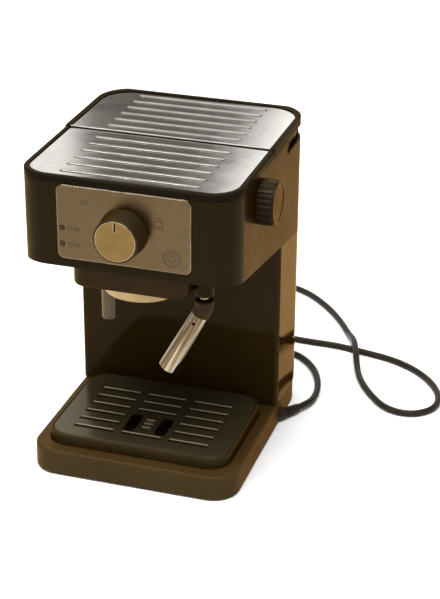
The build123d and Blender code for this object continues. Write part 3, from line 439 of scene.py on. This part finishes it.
panel_steel = brushed("panel_steel", (0.145, 0.098, 0.048), rough=0.28, tangent="Z", smear=0.08,
                      rim=(0.50, 0.44, 0.35))
coat(panel_steel, "front_panel")
print_ink = rubber("print_ink", (0.032, 0.023, 0.012), (0.050, 0.037, 0.020), rough=0.6, gloss=0.3)
coat(print_ink, "panel_marks")
lens_red = milky("lens_red", (0.022, 0.0105, 0.0065), through=0.2, rough=0.2, film=(0.90, 0.62, 0.45))
coat(lens_red, "lamp_lenses")
board_green = moulded("board_green", (0.02, 0.09, 0.04), (0.05, 0.16, 0.08), rough=0.4, gloss=0.5)
coat(board_green, "lamp_board")

# Control knob: a black, slightly tapered moulding on the steel shaft of the switch behind the panel. A turned
# metal disc with a painted highlight on its edge is let into its face, with a black line that points at the setting.
knob_centre = (-0.0082, 0, 0.262)
knob_moulding = moulded("knob_moulding", (0.018, 0.015, 0.0095), (0.030, 0.026, 0.018), rough=0.38, gloss=0.22)
coat(knob_moulding, "control_knob")
knob_disc = turned("knob_disc", (0.215, 0.136, 0.045), rough=0.34, axis="Y", centre=knob_centre, rings=2200.0,
                   rim=(0.55, 0.42, 0.24))
coat(knob_disc, "control_knob_cap")
pointer_ink = rubber("pointer_ink", (0.0045, 0.0035, 0.0020), (0.008, 0.006, 0.004), rough=0.6, gloss=0.06)
coat(pointer_ink, "control_pointer")
coat(zinc, "control_shaft")
coat(grey_moulding, "control_switch")

# Steam tap: a fluted black knob with a let-in disc on the right side, on the spindle of a brass valve.
# Thin copper pipes lead to it from the boiler and on to the wand.
tap_centre = (0, -0.03075, 0.274)
tap_moulding = moulded("tap_moulding", (0.0120, 0.0092, 0.0048), (0.024, 0.019, 0.011), rough=0.38, gloss=0.15)
coat(tap_moulding, "steam_knob")
tap_disc = turned("tap_disc", (0.115, 0.080, 0.040), rough=0.36, axis="X", centre=tap_centre, rings=2200.0,
                  film=(0.84, 0.74, 0.58))
coat(tap_disc, "steam_knob_cap")
coat(zinc, "steam_spindle")
valve_brass = plated("valve_brass", (0.66, 0.50, 0.24), rough=0.35, scratch=160.0)
coat(valve_brass, "steam_valve_body")
pipe_copper = plated("pipe_copper", (0.68, 0.38, 0.24), rough=0.3, scratch=120.0)
coat(pipe_copper, "steam_pipe", "wand_feed_pipe")

# Steam wand: a polished steel pipe that swivels in a black socket under the head and carries a dark rubber
# grip. Its steel sleeve has an air hole and pulls off downward; dark and bright streaks along it are painted
# reflections.
coat(black_moulding, "wand_socket")
wand_steel = plated("wand_steel", (0.245, 0.178, 0.098), rough=0.05, scratch=40.0, dent=0.02)
coat(wand_steel, "steam_wand")
grip_rubber = moulded("grip_rubber", (0.0255, 0.0165, 0.0062), (0.038, 0.027, 0.014),
                      rough=0.5, gloss=0.12, speck=900.0, depth=0.0002)
coat(grip_rubber, "wand_grip")

sleeve_lean = -0.48
across_sleeve, along_sleeve = 430.0, 5.0
sleeve_steel, tree, shader = new_finish("sleeve_steel", rough=0.06, metal=1.0)
place = tree.nodes.new("ShaderNodeTexCoord")
upright = add(tree, "ShaderNodeMapping", Rotation=(0.0, sleeve_lean, 0.0))
tree.links.new(place.outputs["Object"], upright.inputs["Vector"])
stretch = add(tree, "ShaderNodeMapping", Scale=(across_sleeve, across_sleeve, along_sleeve))
tree.links.new(upright.outputs["Vector"], stretch.inputs["Vector"])
painted_streaks = add(tree, "ShaderNodeTexNoise", Scale=1.0, Detail=3.0, Roughness=0.55)
tree.links.new(stretch.outputs["Vector"], painted_streaks.inputs["Vector"])
# Dark and bright streaks painted along the sleeve stand in for its reflections.
vary(tree, shader, "Base Color", painted_streaks.outputs["Fac"],
     (0.36, (0.080, 0.054, 0.026)), (0.50, (0.185, 0.132, 0.069)), (0.64, (0.50, 0.43, 0.33)))
vary(tree, shader, "Roughness", painted_streaks.outputs["Fac"], (0.3, grey(0.11)), (0.7, grey(0.03)))
coat(sleeve_steel, "frother_sleeve")

# Water tank: a smoke-tinted clear box, clouded by water marks, with a spring valve and a strainer in its floor.
# It stands on a socket in the bay behind the head and lifts out with the lid, which turns on its two pins.
tank_smoke, tree, shader = new_finish("tank_smoke", rough=0.08, gloss=0.06)
lacquer(tree, shader, (0.95, 0.84, 0.68))
place = tree.nodes.new("ShaderNodeTexCoord")
water_marks = patches(tree, place, Scale=30.0, Detail=6.0)
vary(tree, shader, "Base Color", water_marks, (0.3, (0.016, 0.013, 0.009)), (0.75, (0.026, 0.021, 0.015)))
vary(tree, shader, "Roughness", water_marks, (0.3, grey(0.20)), (0.75, grey(0.34)))
shader.inputs["Transmission Weight"].default_value = 0.35
coat(tank_smoke, "water_tank")
coat(grey_moulding, "tank_socket", "tank_valve", "tank_filter")
coat(zinc, "lid_pins")

# Top plates: pressed steel sheets, brushed across the machine, with six raised beads each; the beads and the
# lid plate's rolled hem are satin. One lies in the deck's rim in front; the other in the black tank lid,
# which is hinged on the tank at the rear.
bead_level = 0.3071
top_steel = brushed("top_steel", (0.42, 0.409, 0.384), rough=0.115, tangent="Y", smear=0.025, shine=0.8,
                    raised=bead_level)
coat(top_steel, "front_plate", "lid_plate")
coat(rim_moulding, "tank_lid")

# Drip tray and cup grille: black mouldings that lift out of the base's well. The grille lies on the tray's
# ledge and has three columns of slots, two ovals and three short ribs; the lips of its slots carry a painted
# highlight in a pale colour.
# Height above which the slot lips get their painted highlight.
slot_lip_highlight_level = 0.0368
tray_moulding = moulded("tray_moulding", (0.026, 0.0190, 0.0085), (0.050, 0.040, 0.022),
                        rough=0.28, gloss=0.10, edge=0.0006)
coat(tray_moulding, "drip_tray")
grille_moulding = moulded("grille_moulding", (0.028, 0.0255, 0.0175), (0.24, 0.225, 0.17),
                          rough=0.19, gloss=0.32, edge=0.0004, warm=(0.98, 0.92, 0.80), raised=slot_lip_highlight_level)
coat(grille_moulding, "cup_grille")
